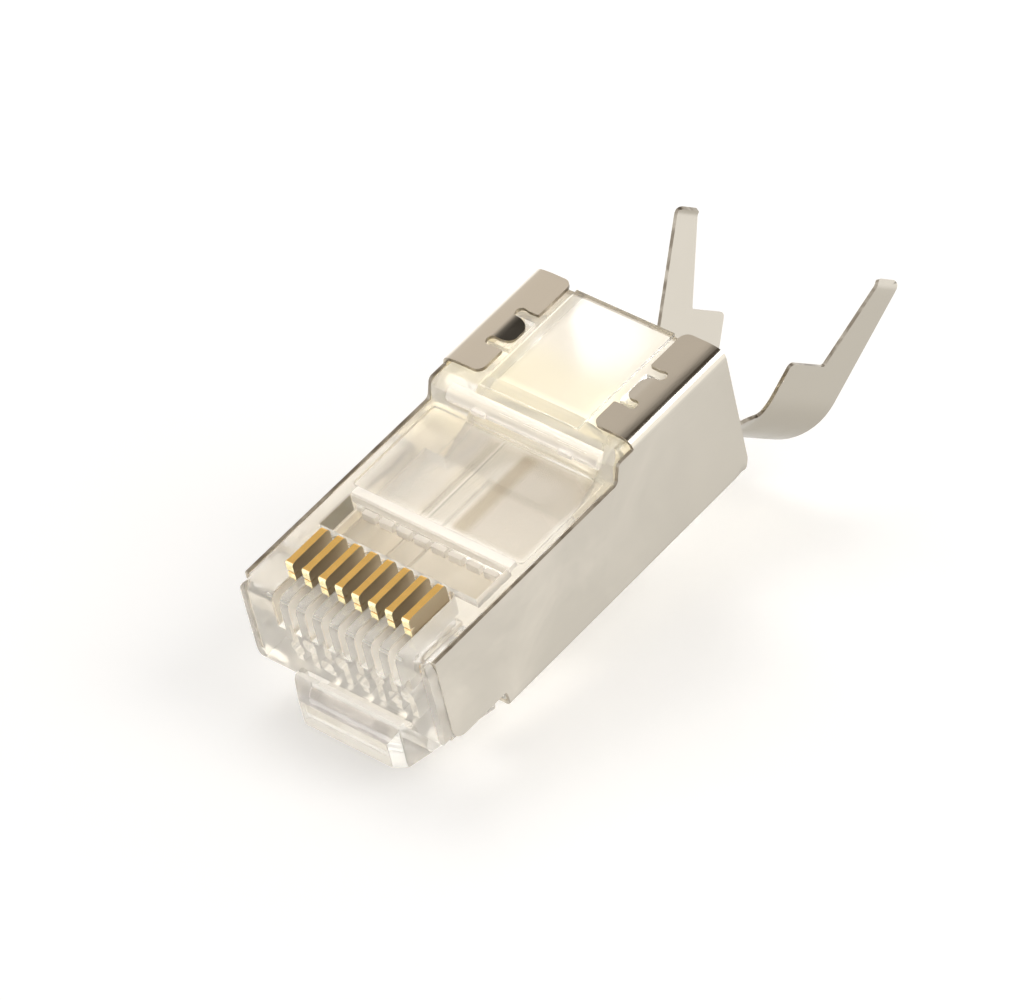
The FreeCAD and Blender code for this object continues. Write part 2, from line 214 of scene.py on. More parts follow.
GROUPS = {}


def pattern(tree, place, name, **values):
    """What a shared group puts out at a place, with a material's own values; each is built once."""
    if name not in GROUPS:
        GROUPS[name] = {"grain": grain_group, "smudge": smudge_group}[name]()
    node = tree.nodes.new("ShaderNodeGroup")
    node.node_tree = GROUPS[name]
    feed_all(node, {"Vector": place, **values})
    return node.outputs[0]


def new_material(name):
    """A material with its shader, and Object coordinates turned to the plug's own axes."""
    material = bpy.data.materials.new(name)
    material.use_nodes = True
    material.cycles.emission_sampling = "NONE"       # its faint glow isn't worth a lamp's share of rays
    tree = material.node_tree
    place = tree.nodes.new("ShaderNodeTexCoord").outputs["Object"]
    shift = Matrix.Rotation(-PLUG_TILT, 3, "X") @ PLUG_ORIGIN
    turn = add(tree, "ShaderNodeMapping", place, Rotation=(-PLUG_TILT, 0.0, 0.0), Location=-shift)
    return material, tree, tree.nodes["Principled BSDF"], turn.outputs["Vector"]


def add_bump(tree, shader, height, strength, distance):
    bump = add(tree, "ShaderNodeBump", Strength=strength, Distance=distance, Height=height)
    feed(shader.inputs["Normal"], bump.outputs["Normal"])


def layered(tree, base, layers):
    """Colour: the base, covered in turn by (colour, share) layers; each may be a socket."""
    for colour, share in layers:
        mix = add(tree, "ShaderNodeMix", data_type="RGBA", A=base, B=colour, Factor=share)
        base = mix.outputs["Result"]
    return base


def highest(tree, value, peak, share):
    """The value, raised to a peak where the share is 1."""
    return add(tree, "ShaderNodeMix", data_type="FLOAT", A=value, B=peak, Factor=share).outputs["Result"]


def ramp(tree, value, start, end):
    """0 before start, 1 after end, smooth between."""
    return add(tree, "ShaderNodeMapRange", value, start, end, interpolation_type="SMOOTHSTEP").outputs[0]


def times(tree, first, second):
    return add(tree, "ShaderNodeMath", first, second, operation="MULTIPLY").outputs[0]


def band(tree, place, axis, rise, fall):
    """1 between two places on an axis of the plug, with smooth ends (millimetres)."""
    along = add(tree, "ShaderNodeSeparateXYZ", place).outputs[axis]
    risen, fallen = (ramp(tree, along, start * MM, end * MM) for start, end in (rise, fall))
    return add(tree, "ShaderNodeMath", risen, fallen, operation="SUBTRACT", use_clamp=True).outputs[0]


def patch(tree, place, **bands):
    """1 inside a block of the plug, given as (rise, fall) pairs of millimetres along its axes."""
    share, *others = [band(tree, place, axis, *ends) for axis, ends in bands.items()]
    for other in others:
        share = times(tree, share, other)
    return share


def facing(tree, axis, start, end, operation="ABSOLUTE"):
    """1 on faces that look along an axis of the object, or with MULTIPLY only on those against it."""
    normal = tree.nodes.new("ShaderNodeTexCoord").outputs["Normal"]
    along = add(tree, "ShaderNodeSeparateXYZ", normal).outputs[axis]
    return ramp(tree, add(tree, "ShaderNodeMath", along, -1.0, operation=operation).outputs[0], start, end)


def radial(tree, near, far):
    """0 nearer to the middle of the object than one distance, 1 beyond the other (metres)."""
    place = tree.nodes.new("ShaderNodeTexCoord").outputs["Object"]
    reach = add(tree, "ShaderNodeVectorMath", place, operation="LENGTH")
    return ramp(tree, reach.outputs["Value"], near, far)


def toward(tree, direction, edge, full):
    """1 where the world lies within the full angle of a direction, 0 beyond the edge angle (degrees)."""
    look = tree.nodes.new("ShaderNodeTexCoord").outputs["Generated"]
    level = add(tree, "ShaderNodeVectorMath", look, Vector(direction).normalized(), operation="DOT_PRODUCT")
    return ramp(tree, level.outputs["Value"], math.cos(math.radians(edge)), math.cos(math.radians(full)))


def through_plastic(tree):
    """1 for a ray that has passed into the plastic, and the node that knows a ray's kind."""
    path = tree.nodes.new("ShaderNodeLightPath")
    passed = add(tree, "ShaderNodeMath", path.outputs["Transmission Depth"], 0.5, operation="GREATER_THAN")
    return passed.outputs[0], path


# Materials


BLACK = (0.0, 0.0, 0.0)
ON = (900, 1000)         # a patch that falls here goes on past the plug


def scaled(colour, share):
    """The colour at a share of its strength, and no part past 1."""
    return tuple(min(1.0, share * part) for part in colour)


def nickel_material():
    """Nickel-plated sheet: rolled grain, handling marks and a slight warm tone; painted shade toward the
    tail, on the wings and on the left tongue, painted reflections on the flaps, and a painted glow where it
    is seen through the plastic.
    """
    material, tree, shader, place = new_material("nickel_plating")
    flap = {"Y": ((13, 15), (21, 24)), "Z": ((7.4, 7.6), ON)}
    tones_and_painted_light = [
        (1.06, pattern(tree, place, "smudge", Scale=170.0, Low=0.0, High=1.0)),
        (0.83, patch(tree, place, Y=((-2, 27), ON))),                           # painted shade, darker toward the tail
        (0.89, patch(tree, place, Y=((21.6, 24.5), ON))),                       # painted shade on the clamp and wings
        (1.17, patch(tree, place, X=((-9, -8), (-3, -2)), **flap)),             # painted reflection, the left flap lighter
        (0.99, patch(tree, place, X=((3, 3.2), (5.0, 5.3)), **flap)),           # painted reflection on the right flap
        (0.28, patch(tree, place, X=((-4.62, -4.25), (-3.0, -2.9)),             # painted shade on the left tongue, in its notch
                     Y=((16.55, 16.75), (18.55, 18.75))))]
    nickel = colours().nickel
    tones_and_painted_light = [(scaled(nickel, level), share) for level, share in tones_and_painted_light]
    passed, _ = through_plastic(tree)
    grain = pattern(tree, place, "grain", Scale=2600.0, Stretch=(1.0, 0.25, 1.0))
    add_bump(tree, shader, grain, ramp(tree, passed, 1.0, 0.0), 0.000006)
    # painted glow of the metal seen through the plastic, stronger toward the rear
    rear = patch(tree, place, Y=((10, 17), ON))
    painted_glow_behind_plastic = layered(tree, (0.14, 0.126, 0.098), [((0.30, 0.27, 0.21), rear)])
    feed_all(shader, {
        "Metallic": 1.0,
        "Base Color": layered(tree, scaled(nickel, 0.91), tones_and_painted_light),
        "Roughness": pattern(tree, place, "smudge", Scale=420.0, Low=0.16, High=0.27),
        "Emission Color": layered(tree, BLACK, [(painted_glow_behind_plastic, passed)]),
        "Emission Strength": 1.0})
    return material


def sheared_material():
    """Bare edge of the sheet, dark and bright by turns where the press sheared it."""
    material, tree, shader, place = new_material("sheared_edge")
    torn = pattern(tree, place, "smudge", Scale=900.0, Low=0.0, High=1.0)
    feed_all(shader, {
        "Metallic": 1.0,
        "Roughness": 0.30,
        "Base Color": layered(tree, (0.28, 0.24, 0.19), [((0.60, 0.55, 0.47), torn)])})
    return material


def gold_material():
    """Gold-plated blades: fine lines along the blade, a painted highlight and glow on the front, painted
    shade in the nick and on the sides, and a painted glow on the top.
    """
    material, tree, shader, place = new_material("gold_plating")
    head = patch(tree, place, Z=((6.18, 6.26), ON))
    # painted highlight: the front of the head paler, and glowing
    painted_front_highlight = times(tree, facing(tree, "Y", 0.40, 0.75, "MULTIPLY"), head)
    # painted shade in the nick's groove, which also takes away the front's painted glow
    nick = patch(tree, place, Y=((0.70, 0.75), (0.98, 1.02)), Z=((6.57, 6.62), (6.68, 6.73)))
    stem = patch(tree, place, Y=((0.70, 0.75), (1.12, 1.18)), Z=((2, 3), (6.18, 6.24)))
    # painted shade on the blade's sides, in the bronze colour
    shaded_side, top = facing(tree, "X", 0.6, 0.9), facing(tree, "Z", 0.6, 0.9)
    gold = colours().gold
    tone = pattern(tree, place, "smudge", Scale=1500.0, Low=0.0, High=1.0)
    rough = pattern(tree, place, "smudge", Scale=2000.0, Low=0.16, High=0.26)
    lines = pattern(tree, place, "grain", Scale=5000.0, Stretch=(1.0, 0.15, 1.0))
    add_bump(tree, shader, lines, 0.1, 0.000003)
    feed_all(shader, {
        "Metallic": 1.0,
        "Base Color": layered(tree, scaled(gold, 0.93), [
            (gold, tone), ((1.0, 0.90, 0.58), painted_front_highlight), ((0.85, 0.52, 0.20), nick),
            ((0.66, 0.57, 0.40), stem), (colours().bronze, shaded_side)]),
        "Roughness": highest(tree, rough, 0.42, shaded_side),
        # painted glow on the tops and the fronts, none in the nick
        "Emission Color": layered(tree, BLACK, [
            ((0.10, 0.05, 0.005), top), ((0.32, 0.285, 0.16), painted_front_highlight), (BLACK, nick)]),
        "Emission Strength": 1.0})
    return material


def painted_shade_tints(tree, place):
    """Painted shade in the clear moulding: darker tints where the recess, the panel, the latch root's front
    and the hump's rear rim show what lies under them.
    """
    panel = {"Y": ((7.0, 7.5), (12.4, 13.0)), "Z": ((5.9, 6.0), ON)}
    floor = {"Y": ((4.0, 4.1), (6.4, 6.5)), "Z": ((5.0, 5.1), (5.5, 5.6))}
    left_wall = {"Y": ((4.1, 4.2), (6.3, 6.4)), "Z": ((5.2, 5.3), (6.2, 6.3))}
    slope = {"Y": ((-1.46, -1.40), (-1.05, -0.90)), "Z": ((0.50, 0.60), (1.3, 1.7))}
    rim = {"Y": ((20.95, 21.05), (23, 24)), "Z": ((7.3, 7.4), ON)}
    tints = (
        ((0.57, 0.51, 0.41), {"X": ((-4.8, -4.7), (4.7, 4.8)), **floor}),           # painted shade on the recess floor
        ((0.78, 0.75, 0.705), {"X": ((-5.2, -4.6), (-1.6, -1.2)), **panel}),        # painted shade on the panel's left third
        ((0.73, 0.69, 0.61), {"X": ((-0.75, -0.55), (4.6, 5.2)), **panel}),         # painted shade on its middle and right
        ((0.62, 0.57, 0.50), {"X": ((1.2, 1.6), (4.6, 5.2)), **panel}),             # painted shade on its right third
        ((0.60, 0.55, 0.47), {"X": ((-1.75, -1.1), (-0.95, -0.70)), **panel}),      # painted shade in a band beside the middle
        ((0.16, 0.15, 0.12), {"X": ((-4.95, -4.87), (-4.80, -4.70)), **left_wall}), # painted shadow on the recess's left wall
        ((0.74, 0.71, 0.71), {"X": ((-2.9, -2.5), (2.6, 2.8)), **slope}),           # painted shade on the front of the latch root
        ((0.46, 0.43, 0.37), {"X": ((-0.77, -0.70), (-0.66, -0.59)), **panel}),     # painted line of shade in the panel
        ((0.44, 0.36, 0.25), {"X": ((0.45, 0.85), (1.20, 1.80)), **panel}),         # broad streak of painted shade
        ((0.42, 0.38, 0.32), rim))                                                  # painted shade on the hump's rear rim
    return [(tint, patch(tree, place, **block)) for tint, block in tints]


def clear_material(name, colour, transmission, roughness, painted_glow_level, with_painted_shade):
    """Polycarbonate: faintly rippled, yellower where the hump is thick, with a faint painted glow, and
    painted shade when asked for.
    """
    material, tree, shader, place = new_material(name)
    spot = partial(patch, tree, place)
    thick = spot(Y=((13.7, 14.3), (16.5, 18.5)))
    comb = spot(X=((-4.3, -4.1), (4.1, 4.3)), Y=((-0.50, -0.45), (3.8, 4.0)), Z=((3.6, 4.2), (6.05, 6.2)))
    painted_brow_glow = spot(X=((-5.4, -5.2), (5.0, 5.2)), Y=((13.25, 13.40), (14.9, 15.2)), Z=((6.95, 7.10), ON))
    painted_left_edge_glow = spot(X=((-3.1, -3.0), (-2.5, -2.2)), Y=((14, 15), (20.9, 21.0)), Z=((7.6, 7.7), ON))
    cavity = spot(X=((-4.2, -4.1), (4.1, 4.2)), Y=((13.0, 13.6), (21.2, 21.3)), Z=((0.7, 0.9), (7.25, 7.35)))
    wire_slot = spot(X=((-5.5, -5.4), (5.4, 5.5)), Y=((3.8, 4.2), (13.0, 13.6)), Z=((2.0, 2.25), (4.9, 5.0)))
    panel_top = spot(X=((-5.2, -5.1), (5.1, 5.2)), Y=((7.0, 7.1), (12.8, 12.9)),
                     Z=((6.02, 6.06), (6.12, 6.16)))
    lip_side = spot(X=((5.3, 5.5), ON), Y=((-2, -1), (0.04, 0.06)))
    tints = [(colours().amber, thick)] + (painted_shade_tints(tree, place) if with_painted_shade else [])
    rough = pattern(tree, place, "smudge", Scale=500.0, Low=roughness, High=roughness + 0.05)
    hazes = ((0.40, comb), (0.34, cavity), (0.20, wire_slot), (0.19, panel_top), (0.35, lip_side))
    for haze, share in hazes:
        rough = highest(tree, rough, haze, share)
    ripple = pattern(tree, place, "grain", Scale=260.0, Stretch=(1.0, 0.4, 1.0), Detail=0.0)
    add_bump(tree, shader, ripple, 0.3, 0.00002)
    shadow_ray = tree.nodes.new("ShaderNodeLightPath").outputs["Is Shadow Ray"]
    let_light_by = add(tree, "ShaderNodeMath", shadow_ray, -0.9, 1.0, operation="MULTIPLY_ADD")
    feed_all(shader, {
        "Transmission Weight": transmission,
        "IOR": 1.45,
        "Base Color": layered(tree, colour, tints),
        "Roughness": rough,
        # painted glow: faint all over, brighter on the comb, the step's brow and the hump's left edge
        "Emission Color": layered(tree, scaled((1.0, 0.95, 0.89), painted_glow_level), [
            ((0.055, 0.053, 0.05), comb), ((0.13, 0.12, 0.10), painted_brow_glow), ((0.11, 0.104, 0.09), painted_left_edge_glow)]),
        "Emission Strength": 1.0,
        "Alpha": let_light_by.outputs[0]})
    return material


def floor_material():
    """Pale paper: lit by the lamps, and lifted to a pale ground for what looks at it, with painted shade
    that darkens it near the plug.
    """
    material, tree, shader, _ = new_material("pale_paper")
    passed, path = through_plastic(tree)
    # painted shade: the ground darker near the plug, as the camera sees it and as seen through the plastic
    ground_with_painted_shade = layered(tree, (0.35, 0.345, 0.335), [((0.44, 0.44, 0.44), radial(tree, 0.012, 0.085))])
    under_plastic_with_painted_shade = layered(tree, (0.78, 0.755, 0.715), [((0.98, 0.96, 0.93), radial(tree, 0.006, 0.022))])
    feed_all(shader, {
        "Roughness": 0.9,
        "Specular IOR Level": 0.0,
        "Base Color": layered(tree, colours().floor, [((0.22, 0.215, 0.21), passed)]),
        "Emission Color": layered(tree, BLACK, [(ground_with_painted_shade, path.outputs["Is Camera Ray"]), (under_plastic_with_painted_shade, passed)]),
        "Emission Strength": 1.0})
    return material


# Pieces and shapes as whole arrays, in millimetres


def link_object(name, data):
    piece = bpy.data.objects.new(name, data)
    bpy.context.scene.collection.objects.link(piece)
    return piece


def give(node_name, material):
    """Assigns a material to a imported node's slots."""
    mesh = frame["nodes"][node_name].data
    if mesh.materials:
        for index in range(len(mesh.materials)):
            mesh.materials[index] = material
    else:
        mesh.materials.append(material)


def rounded(corners, steps=6):
    """Closed outline through (a, b, radius) corners.

    A corner of radius r turns on an arc whose ends lie r / tan(half the corner's angle) away.
    """
    corners = np.array(corners, float)
    spots, radii = corners[:, :2], corners[:, 2]
    back = np.roll(spots, 1, 0) - spots
    ahead = np.roll(spots, -1, 0) - spots
    back /= np.linalg.norm(back, axis=1)[:, None]
    ahead /= np.linalg.norm(ahead, axis=1)[:, None]
    half = np.arccos(np.clip((back * ahead).sum(1), -1, 1)) / 2
    reach = radii / np.tan(half)
    middle = back + ahead
    middle /= np.maximum(np.linalg.norm(middle, axis=1), 1e-9)[:, None]
    centre = spots + middle * (radii / np.sin(half))[:, None]
    path = []
    for index, radius in enumerate(radii):
        if radius <= 0:
            path.append(spots[index][None])
            continue
        first = spots[index] + back[index] * reach[index] - centre[index]
        last = spots[index] + ahead[index] * reach[index] - centre[index]
        share = np.linspace(0, 1, steps + 1)[:, None]
        angle = math.pi - 2 * half[index]
        turn = (np.sin((1 - share) * angle) * first + np.sin(share * angle) * last) / math.sin(angle)
        path.append(centre[index] + turn)
    path = np.concatenate(path)
    keep = np.linalg.norm(path - np.roll(path, 1, 0), axis=1) > 1e-5
    return path[keep]


def cut_outline(path, axis, lines):
    """The outline with a point added wherever it crosses one of the lines a = const or b = const."""
    for line in lines:
        here, there = path[:, axis], np.roll(path, -1, 0)[:, axis]
        crossed = np.flatnonzero((here - line) * (there - line) < -1e-9)
        share = ((line - here) / np.where(there == here, 1.0, there - here))[crossed][:, None]
        added = path[crossed] + share * (np.roll(path, -1, 0)[crossed] - path[crossed])
        path = np.insert(path, crossed + 1, added, axis=0)
    return path


def inside(points, path, margin=0.03):
    """Which points lie within the closed outline and further than a margin from its edge."""
    a, b = path, np.roll(path, -1, 0)
    x, y = points[:, :1], points[:, 1:]
    straddle = (a[:, 1] > y) != (b[:, 1] > y)
    rise = np.where(b[:, 1] == a[:, 1], 1.0, b[:, 1] - a[:, 1])
    crossing = a[:, 0] + (y - a[:, 1]) * (b[:, 0] - a[:, 0]) / rise
    odd = ((x < crossing) & straddle).sum(1) % 2 == 1
    run = b - a
    share = ((x - a[:, 0]) * run[:, 0] + (y - a[:, 1]) * run[:, 1]) / (run ** 2).sum(1)
    share = np.clip(share, 0, 1)
    gap = np.hypot(x - a[:, 0] - share * run[:, 0], y - a[:, 1] - share * run[:, 1]).min(1)
    return odd & (gap > margin)


def grid(first, second):
    """All pairs of the values, as points."""
    return np.array(np.meshgrid(first, second)).reshape(2, -1).T


def flat_sheet(path, lattice):
    """Triangles that fill an outline, with the lattice's points as inner corners."""
    points = np.concatenate([path, lattice])
    count = len(path)
    edges = [(index, (index + 1) % count) for index in range(count)]
    spots, _, faces = delaunay_2d_cdt([Vector(spot) for spot in points.tolist()], edges, [], 1, 1e-6)[:3]
    return np.array([tuple(spot) for spot in spots]), np.array(faces)


def bent_path(distance, pieces):
    """Points (a, b) at distances along a path of (length, curvature) pieces that starts along +a.

    On a piece of curvature k the heading h grows to h + k t, so the point moves by
    (sin(h + k t) - sin h) / k and (cos h - cos(h + k t)) / k; where k is 0, by t cos h and t sin h.
    """
    start = heading = 0.0
    a = np.zeros_like(distance)
    b = np.zeros_like(distance)
    for number, (length, curvature) in enumerate(pieces):
        end = length if number < len(pieces) - 1 else math.inf
        run = np.clip(distance - start, 0, end)
        if curvature:
            a += (np.sin(heading + curvature * run) - math.sin(heading)) / curvature
            b += (math.cos(heading) - np.cos(heading + curvature * run)) / curvature
        else:
            a += run * math.cos(heading)
            b += run * math.sin(heading)
        start += length
        heading += length * curvature
    return a, b


def in_place(points):
    """Points in the plug's own frame, in millimetres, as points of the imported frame, in metres."""
    tilt = np.array([[1, 0, 0], [0, math.cos(PLUG_TILT), -math.sin(PLUG_TILT)],
                     [0, math.sin(PLUG_TILT), math.cos(PLUG_TILT)]])
    return points @ tilt.T * MM + np.array(PLUG_ORIGIN)


def new_piece(name, points, faces, material, body, finish, replaced=()):
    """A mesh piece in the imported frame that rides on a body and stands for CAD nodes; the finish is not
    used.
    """
    mesh = bpy.data.meshes.new(name)
    mesh.from_pydata(in_place(points).tolist(), [], faces)
    mesh.validate()
    mesh.polygons.foreach_set("use_smooth", np.ones(len(mesh.polygons), bool))
    mesh.materials.append(material)
    piece = link_object(name, mesh)
    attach(piece, body)
    if replaced:
        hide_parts(*replaced)
    return piece


# The shell's blank, in millimetres


SHEET = 0.25
SHELL_GAP = 0.06                 # air between the sheet and the moulding
SIDE = round(CAD_BOX[1][0] / MM, 3)
FOLD = 0.40
HUMP = 7.86
DECK = 6.25                      # top of the plug ahead of the hump
STEP = 13.20                     # where the rise to the hump begins
LIP_FOOT = 1.05                  # underside of the nose
BAY_HALF, BAY_FRONT, BAY_END = 3.45, 3.80, 12.6        # opening for the latch
SLEEVE_END = 21.15               # rear of the base plate
SHELL_END = 21.57                # rear of the walls and flaps
NECK_HALF, NECK_CREASE, NECK_BEND, NECK_END = 4.0, 21.445, 0.9, 24.845
TAIL_SLOPE = math.radians(43.25)
TROUGH = 3.80                    # radius of the clamp's round part
BAND = 5.32                      # length of the clamp
WING_SHOULDER, WING_REACH = 7.10, 12.08                # distances along the sheet from its middle
WING_LEAN = math.radians(11.6)
HOOK, HOOK_ANGLE = 0.55, math.radians(55.0)
QUARTER = FOLD * math.pi / 2
BASE_END = SIDE - FOLD
WALL_START = BASE_END + QUARTER
FLAP_FOLD = 0.55
CROWN = math.radians(10.0)       # the flap is still bent by this much where its sharp fold ends
CROWN_LENGTH = 0.80
BEND = FLAP_FOLD * (math.pi / 2 - CROWN)
BEND_RISE = FLAP_FOLD * math.cos(CROWN) + CROWN_LENGTH / CROWN * (1 - math.cos(CROWN))
WALL_END = WALL_START + HUMP - FOLD - BEND_RISE
FLAP_START = WALL_END + BEND + CROWN_LENGTH
FLAP_EDGE = FLAP_START + 1.16
FLAP_FRONT = 14.65
TONGUE_ROOT = FLAP_START + 0.14
TONGUE_MIDDLE = 17.65
STRAIGHT_ON = (0, 0)             # a path's last piece has no end


def wall(height):
    """Distance along the sheet of a height on the side wall."""
    return WALL_START + height - FOLD


def tongue_edge():
    """Front half of a punched tongue: (distance along the sheet, way from its middle, radius)."""
    return [(FLAP_EDGE, 1.35, 0.08), (TONGUE_ROOT + 0.42, 1.33, 0.15), (TONGUE_ROOT - 0.18, 1.47, 0.28),
            (TONGUE_ROOT - 0.12, 0.79, 0.26), (TONGUE_ROOT + 0.38, 0.79, 0.3),
            (TONGUE_ROOT + 0.98, 0.63, 0.55)]


def sleeve_edge():
    """One side of the blank's outline, from the latch bay round to the neck."""
    tongue = [(a, TONGUE_MIDDLE - way, radius) for a, way, radius in tongue_edge()]
    tongue += [(a, TONGUE_MIDDLE + way, radius) for a, way, radius in reversed(tongue_edge())]
    front = [(BAY_HALF, BAY_END, 0.6), (BAY_HALF, BAY_FRONT, 0.1), (BASE_END + 0.3, BAY_FRONT, 0),
             (wall(LIP_FOOT), 3.71, 0.1), (wall(LIP_FOOT), 0, 0.8), (wall(DECK), 0, 0.08),
             (wall(DECK), STEP, 0.34), (WALL_END, 13.56, 0.30), (WALL_END, FLAP_FRONT, 0.05),
             (FLAP_EDGE, FLAP_FRONT, 0.45)]
    rear = [(FLAP_EDGE, SHELL_END, 0.45), (WALL_START + 0.35, SHELL_END, 0.45), (BASE_END, SLEEVE_END, 0.2),
            (NECK_HALF, SLEEVE_END, 0.12), (NECK_HALF, NECK_END, 0.2)]
    return front + tongue + rear


def wing_edge(hand):
    """One wing's outline from the neck to the band's rear; the hooked fingers interleave."""
    root_width, tip_width, band_end = 2.50, 1.66, NECK_END + BAND
    if hand > 0:
        return [(WING_SHOULDER, NECK_END, 0.3), (WING_SHOULDER, band_end - root_width, 0.16),
                (WING_REACH, band_end - tip_width, 0.3), (WING_REACH, band_end, 0.3)]
    return [(WING_REACH, NECK_END, 0.3), (WING_REACH, NECK_END + tip_width, 0.3),
            (WING_SHOULDER, NECK_END + root_width, 0.16), (WING_SHOULDER, band_end, 0.3)]


def blank_outline():
    """Right side of the blank, then the left one mirrored and run the other way."""
    right = sleeve_edge() + wing_edge(1)
    left = sleeve_edge() + wing_edge(-1)
    return rounded(right + [(-a, b, radius) for a, b, radius in reversed(left)])


def fold_sleeve(across, along):
    """Base, quarter-round fold, wall, fold, crowned flap, and the tongues pressed down out of it."""
    distance = np.abs(across)
    flaps = [(BASE_END, 0), (QUARTER, 1 / FOLD), (WALL_END - WALL_START, 0), (BEND, 1 / FLAP_FOLD),
             (CROWN_LENGTH, CROWN / CROWN_LENGTH)]
    press, ease, half_width = math.radians(14.0), 0.40, 0.905
    tongues = flaps + [(TONGUE_ROOT - FLAP_START, 0), (ease, press / ease), STRAIGHT_ON]
    x, z = bent_path(distance, flaps + [STRAIGHT_ON])
    x_pressed, z_pressed = bent_path(distance, tongues)
    chosen = np.abs(along - TONGUE_MIDDLE) < half_width
    x, z = np.where(chosen, x_pressed, x), np.where(chosen, z_pressed, z)
    return np.stack([np.sign(across) * x, along, z], 1)


def fold_tail(across, along):
    """Neck that turns down on an arc while its section curves, then the trough and its wings.

    Across, the section's curvature grows from flat to 1 / TROUGH as (share of the neck) ** 0.42.
    """
    start = NECK_CREASE - NECK_BEND * math.tan(TAIL_SLOPE / 2)
    arc = NECK_BEND * TAIL_SLOPE
    y, drop = bent_path(np.maximum(along - start, 0), [(arc, 1 / NECK_BEND), STRAIGHT_ON])
    share = np.clip((along - start) / (NECK_END - start - 0.001), 1e-6, 1)
    curve = share ** 0.42 / TROUGH
    distance = np.abs(across)
    x = np.sin(distance * curve) / curve
    height = (1 - np.cos(distance * curve)) / curve
    round_part, hook = TROUGH * (math.pi / 2 - WING_LEAN), HOOK * HOOK_ANGLE
    x_wing, height_wing = bent_path(distance, [(round_part, 1 / TROUGH), (WING_REACH - round_part - hook, 0),
                                               (hook, 1 / HOOK), STRAIGHT_ON])
    x = np.where(share >= 1, x_wing, x)
    height = np.where(share >= 1, height_wing, height)
    lean = np.clip((along - start) / arc, 0, 1) * TAIL_SLOPE
    return np.stack([np.sign(across) * x, start + y + height * np.sin(lean),
                     -drop + height * np.cos(lean)], 1)


def shell_mesh():
    """The whole blank, triangulated flat with points close together at its bends, and folded in one go."""
    rows = np.concatenate([BASE_END + np.linspace(0, QUARTER, 9), WALL_END + np.linspace(0, BEND, 12),
                           FLAP_START - CROWN_LENGTH + np.linspace(0.2, 0.8, 4),
                           TONGUE_ROOT + np.linspace(0, 0.40, 5)])
    rows = np.concatenate([-rows[::-1], rows])
    reaches = np.concatenate([np.arange(0.4, 11.4, 0.4), np.linspace(11.55, WING_REACH, 7)])
    reaches = np.concatenate([-reaches[::-1], [0.0], reaches])
    turn_start, turn_end = 21.09, 21.77          # the neck turns down between these
    along = np.concatenate([np.linspace(turn_start, turn_end, 9), np.linspace(21.95, NECK_END, 12),
                            NECK_END + np.linspace(0.5, 4.8, 9)])
    path = cut_outline(blank_outline(), 0, np.concatenate([rows, reaches]))
    path = cut_outline(path, 1, along)
    grids = grid(rows, np.arange(0.3, 21.0, 0.45)), grid(reaches, along)
    spots, faces = flat_sheet(path, np.concatenate([points[inside(points, path)] for points in grids]))
    across, length = spots.T
    neck = (length > turn_start - 0.04) & (np.abs(across) < NECK_HALF + 0.1)
    tail = neck | (length > NECK_END - 0.01)
    points = np.where(tail[:, None], fold_tail(across, length), fold_sleeve(across, length))
    return points, faces[:, ::-1].tolist()


def thicken(piece):
    """Gives the folded blank its thickness, inward, and the rim its own material."""
    sheet = piece.modifiers.new("thickness", "SOLIDIFY")
    sheet.thickness = (SHEET - SHELL_GAP) * MM
    sheet.offset = -1.0
    sheet.use_even_offset = True
    sheet.use_quality_normals = True
    sheet.material_offset_rim = 1


def round_edges(piece, width, angle=38):
    """Rounds the edges that turn by more than an angle in degrees, over a width in millimetres."""
    edge = piece.modifiers.new("edge", "BEVEL")
    edge.width = width * MM
    edge.segments = 2
    edge.limit_method = "ANGLE"
    edge.angle_limit = math.radians(angle)
    edge.harden_normals = True


# Solid blanks and cutters for the moulding


def prism(path, axis, low, high):
    """Closed prism: a convex or concave outline swept along one axis (0 x, 1 y, 2 z).

    The outline holds the two other coordinates in their own order.
    """
    area = (path[:, 0] * np.roll(path[:, 1], -1) - np.roll(path[:, 0], -1) * path[:, 1]).sum()
    if (area > 0) == (axis == 1):
        path = path[::-1]
    count = len(path)
    ends = [np.insert(path, axis, value, axis=1) for value in (low, high)]
    here = np.arange(count)
    there = np.roll(here, -1)
    sides = np.stack([here, there, there + count, here + count], 1)
    return np.concatenate(ends), [here[::-1].tolist(), (here + count).tolist()] + sides.tolist()


def box(low, high):
    """Closed block between two corners."""
    corners = [(low[1], low[2], 0), (high[1], low[2], 0), (high[1], high[2], 0), (low[1], high[2], 0)]
    return prism(rounded(corners), 0, low[0], high[0])


def oblong(half_width, low, high, radius, middle=0.0):
    """Outline of a rounded rectangle, half_width to both sides of its middle."""
    left, right = middle - half_width, middle + half_width
    return rounded([(left, low, radius), (right, low, radius), (right, high, radius), (left, high, radius)])


def lofted(low_path, high_path, low, high):
    """Closed body along y between two outlines with the same number of points."""
    count = len(low_path)
    points = np.concatenate([np.insert(low_path, 1, low, axis=1), np.insert(high_path, 1, high, axis=1)])
    here = np.arange(count)
    there = np.roll(here, -1)
    sides = np.stack([here, here + count, there + count, there], 1)
    return points, [here.tolist(), (here + count)[::-1].tolist()] + sides.tolist()


def hold(solid):
    """A passing object that holds a solid while the boolean steps run."""
    mesh = bpy.data.meshes.new("blank")
    mesh.from_pydata(solid[0].tolist(), [], solid[1])
    return bpy.data.objects.new("blank", mesh)


